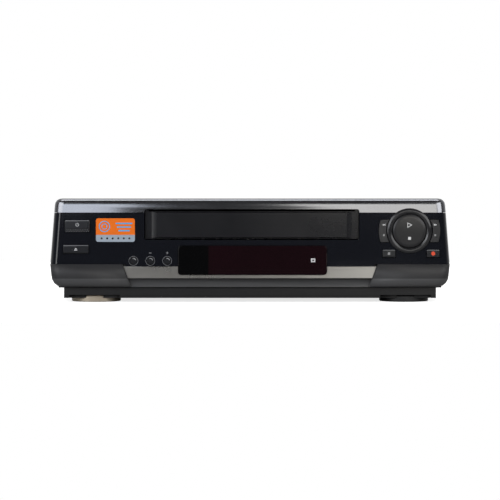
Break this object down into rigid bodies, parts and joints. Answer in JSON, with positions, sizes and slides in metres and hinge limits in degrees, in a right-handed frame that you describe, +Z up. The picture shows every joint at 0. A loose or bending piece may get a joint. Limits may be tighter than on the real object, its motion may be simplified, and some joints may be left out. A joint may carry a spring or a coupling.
{
  "type": "video cassette recorder",
  "caption": "Home video cassette recorder with a hinged door over its loading slot, a dark display window, push buttons, a round rocker dial and a full tape deck inside.",
  "frame": {"origin": "on the floor, below the middle of the recorder's box", "axes": "+X to the right as seen from the front, -Y towards the viewer, +Z up"},
  "size_m": [0.355, 0.29, 0.0918],
  "materials": {
    "gloss_black": "polished",
    "satin_silver": "satin metallic paint",
    "wing_grey": "fine matte",
    "champagne": "satin metallic paint",
    "smoked_window": "polished, dark tint",
    "door_black": "satin",
    "key_black": "satin",
    "ring_grey": "satin metallic paint",
    "cover_black": "matte powder coat",
    "chassis_black": "matte",
    "foot_champagne": "satin metallic paint",
    "foot_black": "matte",
    "zinc_plate": "zinc plated",
    "polished_steel": "polished",
    "board_brown": "bare laminate",
    "connector_black": "moulded",
    "ivory_plastic": "moulded",
    "rubber": "matte",
    "grey_plastic": "moulded",
    "tube_glass": "smooth",
    "aluminium": "extruded",
    "capacitor_sleeve": "shrunk sleeve",
    "laminated_core": "varnished"
  },
  "bodies": {
    "chassis": {"front_panel": "wing_grey", "face_plate": "gloss_black", "top_band": "satin_silver", "lower_trim": "champagne", "display_window": "smoked_window", "dial_ring": "ring_grey", "front_board": "board_brown", "display_tube": "tube_glass", "bottom_chassis": "chassis_black", "foot_front_left": "foot_champagne", "foot_front_right": "foot_black", "foot_rear_left": "foot_black", "foot_rear_right": "foot_black", "top_cover": "cover_black", "rear_panel": "chassis_black", "scart_socket_1": "connector_black", "scart_socket_2": "connector_black", "tuner_block": "zinc_plate", "phono_jacks": "connector_black", "ac_inlet": "connector_black", "main_board": "board_brown", "power_board": "board_brown", "power_transformer": "laminated_core", "filter_capacitor": "capacitor_sleeve", "heat_sink": "aluminium", "deck_plate": "zinc_plate", "drum_base": "aluminium", "capstan_motor": "zinc_plate", "erase_head": "polished_steel", "audio_head": "polished_steel", "bracket_left": "zinc_plate", "bracket_right": "zinc_plate", "loading_belt": "rubber", "loading_motor": "grey_plastic"},
    "cassette_door": {"cassette_door": "door_black"},
    "carriage": {"carriage": "zinc_plate"},
    "cassette_basket": {"cassette_basket": "zinc_plate"},
    "loading_gear": {"loading_gear": "ivory_plastic"},
    "motor_pulley": {"motor_pulley": "ivory_plastic"},
    "drum_rotor": {"drum_rotor": "polished_steel"},
    "capstan": {"capstan": "polished_steel"},
    "supply_reel": {"supply_reel": "ivory_plastic"},
    "takeup_reel": {"takeup_reel": "ivory_plastic"},
    "pinch_arm": {"pinch_arm": "zinc_plate"},
    "pinch_roller": {"pinch_roller": "rubber"},
    "supply_guide": {"supply_guide": "polished_steel"},
    "takeup_guide": {"takeup_guide": "polished_steel"},
    "tension_arm": {"tension_arm": "zinc_plate"},
    "power_button": {"power_button": "key_black"},
    "eject_button": {"eject_button": "key_black"},
    "pause_button": {"pause_button": "key_black"},
    "record_button": {"record_button": "key_black"},
    "setup_button": {"setup_button": "key_black"},
    "program_down_button": {"program_down_button": "key_black"},
    "program_up_button": {"program_up_button": "key_black"},
    "play_stop_button": {"play_stop_button": "key_black"},
    "rewind_button": {"rewind_button": "key_black"},
    "forward_button": {"forward_button": "key_black"}
  },
  "joints": [
    {"name": "door_hinge", "type": "hinge", "parent": "chassis", "child": "cassette_door", "pos_m": [0.0016, -0.1382, 0.0844], "axis": [-1, 0, 0], "range_deg": [-85, 0], "stiffness_Nm_per_rad": 0.005, "springref_deg": 17.19},
    {"name": "carriage_slide", "type": "slide", "parent": "chassis", "child": "carriage", "axis": [0, 1, 0], "range_m": [0, 0.036]},
    {"name": "basket_lift", "type": "slide", "parent": "carriage", "child": "cassette_basket", "axis": [0, 0, -1], "range_m": [0, 0.022]},
    {"name": "loading_gear_spin", "type": "hinge", "parent": "chassis", "child": "loading_gear", "pos_m": [0.1033, -0.04, 0.0429], "axis": [-1, 0, 0], "range_deg": [0, 290]},
    {"name": "motor_pulley_spin", "type": "hinge", "parent": "chassis", "child": "motor_pulley", "pos_m": [0.1063, -0.004, 0.034], "axis": [-1, 0, 0], "range_deg": [0, 1060]},
    {"name": "drum_spin", "type": "hinge", "parent": "chassis", "child": "drum_rotor", "pos_m": [-0.006, 0.066, 0.0405], "axis": [-0.0616, 0.0616, 0.9962], "continuous": true},
    {"name": "capstan_spin", "type": "hinge", "parent": "chassis", "child": "capstan", "pos_m": [0.066, 0.038, 0.03], "axis": [0, 0, 1], "continuous": true},
    {"name": "supply_reel_spin", "type": "hinge", "parent": "chassis", "child": "supply_reel", "pos_m": [-0.0444, -0.02, 0.03], "axis": [0, 0, 1], "continuous": true},
    {"name": "takeup_reel_spin", "type": "hinge", "parent": "chassis", "child": "takeup_reel", "pos_m": [0.0476, -0.02, 0.03], "axis": [0, 0, 1], "continuous": true},
    {"name": "pinch_arm_swing", "type": "hinge", "parent": "chassis", "child": "pinch_arm", "pos_m": [0.084, 0.058, 0.026], "axis": [0, 0, 1], "range_deg": [-60, 0]},
    {"name": "pinch_roller_spin", "type": "hinge", "parent": "pinch_arm", "child": "pinch_roller", "pos_m": [0.093, 0.04241, 0.045], "axis": [0, 0, 1], "continuous": true},
    {"name": "supply_guide_slide", "type": "slide", "parent": "chassis", "child": "supply_guide", "axis": [-0.2873, 0.9578, 0], "range_m": [0, 0.0626]},
    {"name": "takeup_guide_slide", "type": "slide", "parent": "chassis", "child": "takeup_guide", "axis": [0.2873, 0.9578, 0], "range_m": [0, 0.0626]},
    {"name": "tension_arm_swing", "type": "hinge", "parent": "chassis", "child": "tension_arm", "pos_m": [-0.066, 0.01, 0.026], "axis": [0, 0, 1], "range_deg": [-8, 30], "stiffness_Nm_per_rad": 0.02},
    {"name": "power_press", "type": "slide", "parent": "chassis", "child": "power_button", "axis": [0, 1, 0], "range_m": [0, 0.001], "stiffness_N_per_m": 400},
    {"name": "eject_press", "type": "slide", "parent": "chassis", "child": "eject_button", "axis": [0, 1, 0], "range_m": [0, 0.001], "stiffness_N_per_m": 400},
    {"name": "pause_press", "type": "slide", "parent": "chassis", "child": "pause_button", "axis": [0, 1, 0], "range_m": [0, 0.001], "stiffness_N_per_m": 400},
    {"name": "record_press", "type": "slide", "parent": "chassis", "child": "record_button", "axis": [0, 1, 0], "range_m": [0, 0.001], "stiffness_N_per_m": 400},
    {"name": "setup_press", "type": "slide", "parent": "chassis", "child": "setup_button", "axis": [0, 1, 0], "range_m": [0, 0.001], "stiffness_N_per_m": 400},
    {"name": "program_down_press", "type": "slide", "parent": "chassis", "child": "program_down_button", "axis": [0, 1, 0], "range_m": [0, 0.001], "stiffness_N_per_m": 400},
    {"name": "program_up_press", "type": "slide", "parent": "chassis", "child": "program_up_button", "axis": [0, 1, 0], "range_m": [0, 0.001], "stiffness_N_per_m": 400},
    {"name": "play_stop_rock", "type": "hinge", "parent": "chassis", "child": "play_stop_button", "pos_m": [0.141, -0.1407, 0.0632], "axis": [1, 0, 0], "range_deg": [-3, 3], "stiffness_Nm_per_rad": 0.5},
    {"name": "rewind_rock", "type": "hinge", "parent": "chassis", "child": "rewind_button", "pos_m": [0.11705, -0.1407, 0.0632], "axis": [1, 0, 0], "range_deg": [-2.5, 2.5], "stiffness_Nm_per_rad": 0.5},
    {"name": "forward_rock", "type": "hinge", "parent": "chassis", "child": "forward_button", "pos_m": [0.16495, -0.1407, 0.0632], "axis": [1, 0, 0], "range_deg": [-2.5, 2.5], "stiffness_Nm_per_rad": 0.5}
  ],
  "couplings": [
    {"joint": "loading_gear_spin", "follows": "carriage_slide", "rad_per_m": 125},
    {"joint": "motor_pulley_spin", "follows": "carriage_slide", "rad_per_m": 458.33}
  ]
}
